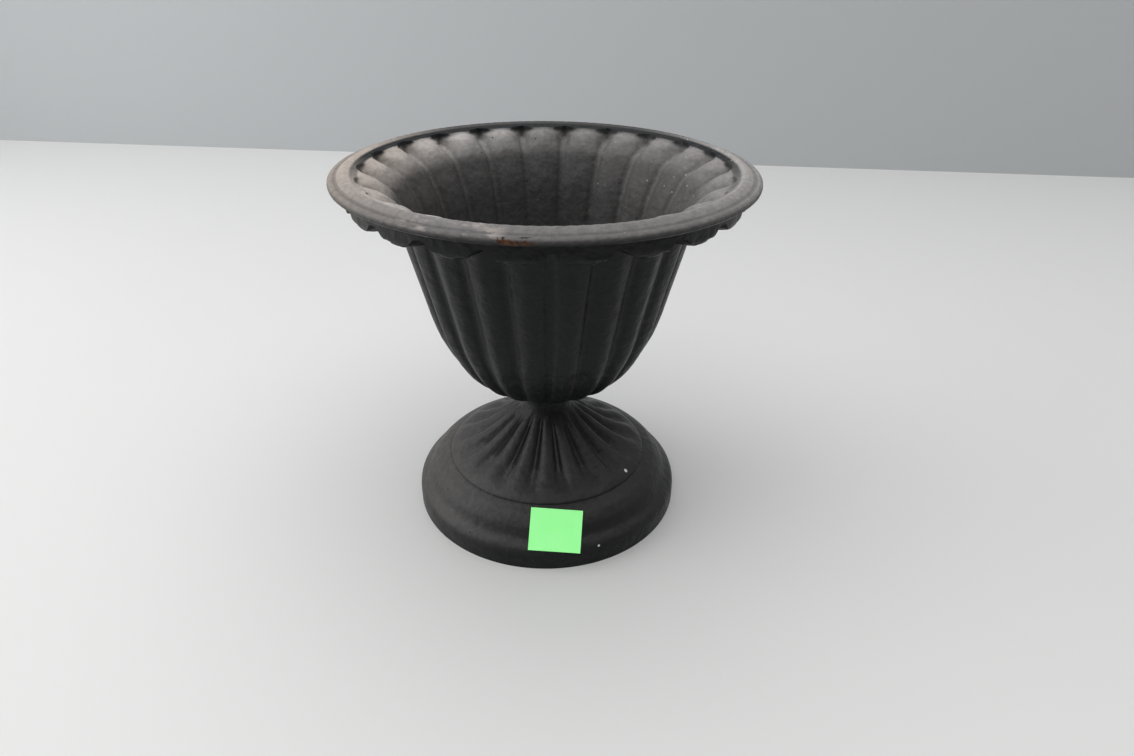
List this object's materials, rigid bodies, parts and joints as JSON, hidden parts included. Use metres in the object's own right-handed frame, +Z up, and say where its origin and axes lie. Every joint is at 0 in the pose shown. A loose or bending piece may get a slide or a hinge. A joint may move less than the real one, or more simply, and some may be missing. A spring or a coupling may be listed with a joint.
{
  "type": "cast iron planter",
  "caption": "Small black cast iron garden urn: a fluted bowl with square drops under a beaded rim, bolted to a tongued bell pedestal on a round foot, with a blank price sticker.",
  "frame": {"origin": "on the floor, under the middle of the foot", "axes": "+Z up along the axis of the urn, -Y the front with the sticker"},
  "size_m": [0.1596, 0.1594, 0.1504],
  "materials": {
    "painted_cast_iron": "sand cast, matt black paint, dusty, rusted where it is chipped",
    "zinc_plated_steel": "dull zinc plating, rust in the corners",
    "label_paper": "green coated paper, blank"
  },
  "bodies": {
    "root": {"bowl": "painted_cast_iron", "pedestal": "painted_cast_iron", "clamp_bolt": "zinc_plated_steel", "hex_nut": "zinc_plated_steel", "bowl_washer": "zinc_plated_steel", "foot_washer": "zinc_plated_steel", "spring_washer": "zinc_plated_steel", "price_label": "label_paper"}
  },
  "joints": []
}
